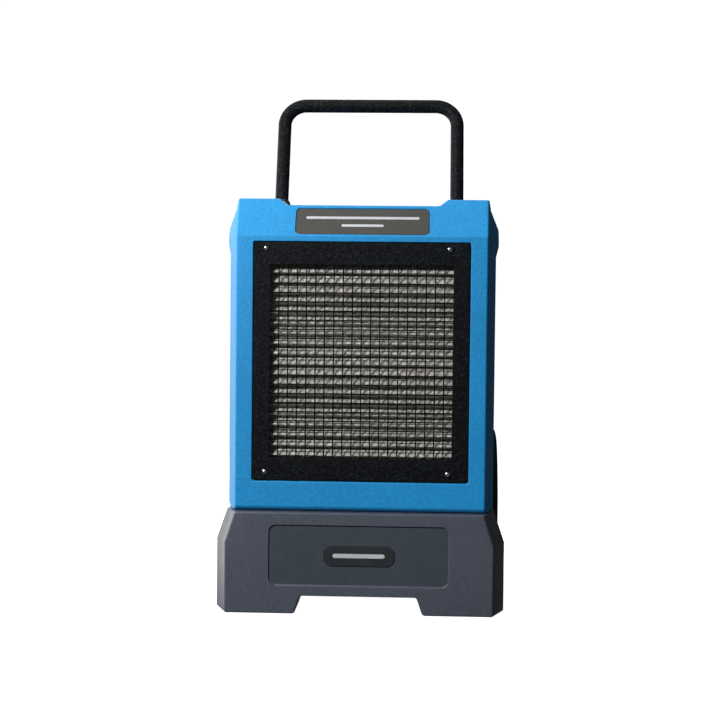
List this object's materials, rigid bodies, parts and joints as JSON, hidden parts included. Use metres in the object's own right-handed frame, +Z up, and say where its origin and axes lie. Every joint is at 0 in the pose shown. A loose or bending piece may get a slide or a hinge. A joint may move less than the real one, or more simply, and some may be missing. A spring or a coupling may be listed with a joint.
{
  "type": "portable refrigerant dehumidifier",
  "caption": "Wheeled refrigerant dehumidifier: moulded housing on a base, filtered intake behind a wire guard, tilting push handle, fan outlet at the rear.",
  "frame": {"origin": "on the floor, at the centre of the machine's bounding box", "axes": "+Z up, the intake faces -Y, +X to the right of someone who faces the intake"},
  "size_m": [0.484, 0.48, 0.8954],
  "materials": {
    "housing_blue": "satin, light grain",
    "base_charcoal": "fine moulded grain",
    "bezel_powder_coat": "textured black powder coat",
    "guard_wire": "black dip coat",
    "filter_media": "expanded, crinkled",
    "filter_edge": "matt",
    "label_film": "woven pattern under a clear film",
    "badge_film": "satin",
    "bright_steel": "zinc plated",
    "trim_plastic": "moulded",
    "tyre_rubber": "matt",
    "foot_rubber": "matt",
    "key_plastic": "satin",
    "display_window": "polished",
    "switch_red": "polished",
    "sheet_zinc": "galvanised",
    "coil_fins": "bare fins",
    "copper_tube": "drawn copper",
    "black_enamel": "gloss enamel",
    "tray_plastic": "vacuum formed",
    "float_foam": "closed-cell"
  },
  "bodies": {
    "chassis": {"housing_shell": "housing_blue", "base_tub": "base_charcoal", "front_bezel": "bezel_powder_coat", "handle_tube": "bezel_powder_coat", "guard_vertical_wires": "guard_wire", "guard_horizontal_wires": "guard_wire", "outlet_grille": "guard_wire", "air_filter": "filter_media", "filter_frame": "filter_edge", "label_plate": "label_film", "base_badge": "badge_film", "bezel_screw_1": "bright_steel", "bezel_screw_2": "bright_steel", "bezel_screw_3": "bright_steel", "bezel_screw_4": "bright_steel", "axle_left": "bright_steel", "axle_right": "bright_steel", "handle_socket_left": "trim_plastic", "handle_socket_right": "trim_plastic", "outlet_collar": "trim_plastic", "power_inlet": "trim_plastic", "cord_hook_left": "trim_plastic", "cord_hook_right": "trim_plastic", "drain_fitting": "trim_plastic", "control_fascia": "trim_plastic", "foot_pad_left": "foot_rubber", "foot_pad_right": "foot_rubber", "display_lens": "display_window", "equipment_deck": "sheet_zinc", "coil_casing": "sheet_zinc", "fan_shroud": "sheet_zinc", "compressor_plate": "sheet_zinc", "control_box": "sheet_zinc", "evaporator_coil": "coil_fins", "precooler_core": "coil_fins", "condenser_coil": "coil_fins", "suction_pipe": "copper_tube", "discharge_pipe": "copper_tube", "liquid_pipe": "copper_tube", "capillary_pipe": "copper_tube", "filter_drier": "copper_tube", "compressor": "black_enamel", "fan_motor": "black_enamel", "capacitor": "black_enamel", "drip_tray": "tray_plastic", "pump_reservoir": "tray_plastic", "pump_lid": "tray_plastic"},
    "wheel_left": {"tyre_left": "tyre_rubber", "rim_left": "trim_plastic", "hub_cap_left": "bright_steel"},
    "wheel_right": {"tyre_right": "tyre_rubber", "rim_right": "trim_plastic", "hub_cap_right": "bright_steel"},
    "fan": {"fan_impeller": "tray_plastic"},
    "float": {"pump_float": "float_foam"},
    "key_1": {"button_1": "key_plastic"},
    "key_2": {"button_2": "key_plastic"},
    "key_3": {"button_3": "key_plastic"},
    "key_4": {"button_4": "key_plastic"},
    "rocker": {"rocker_switch": "switch_red"}
  },
  "joints": [
    {"name": "wheel_left_spin", "type": "hinge", "parent": "chassis", "child": "wheel_left", "pos_m": [-0.215, 0.095, 0.145], "axis": [1, 0, 0], "continuous": true},
    {"name": "wheel_right_spin", "type": "hinge", "parent": "chassis", "child": "wheel_right", "pos_m": [0.215, 0.095, 0.145], "axis": [1, 0, 0], "continuous": true},
    {"name": "fan_spin", "type": "hinge", "parent": "chassis", "child": "fan", "pos_m": [0, 0.023, 0.4185], "axis": [0, 1, 0], "continuous": true},
    {"name": "float_rise", "type": "slide", "parent": "chassis", "child": "float", "axis": [0, 0, 1], "range_m": [0, 0.03]},
    {"name": "key_1_press", "type": "slide", "parent": "chassis", "child": "key_1", "axis": [0, 0, -1], "range_m": [0, 0.0012], "stiffness_N_per_m": 900},
    {"name": "key_2_press", "type": "slide", "parent": "chassis", "child": "key_2", "axis": [0, 0, -1], "range_m": [0, 0.0012], "stiffness_N_per_m": 900},
    {"name": "key_3_press", "type": "slide", "parent": "chassis", "child": "key_3", "axis": [0, 0, -1], "range_m": [0, 0.0012], "stiffness_N_per_m": 900},
    {"name": "key_4_press", "type": "slide", "parent": "chassis", "child": "key_4", "axis": [0, 0, -1], "range_m": [0, 0.0012], "stiffness_N_per_m": 900},
    {"name": "rocker_tilt", "type": "hinge", "parent": "chassis", "child": "rocker", "pos_m": [-0.062, 0.178, 0.214], "axis": [1, 0, 0], "range_deg": [-7, 7]}
  ]
}
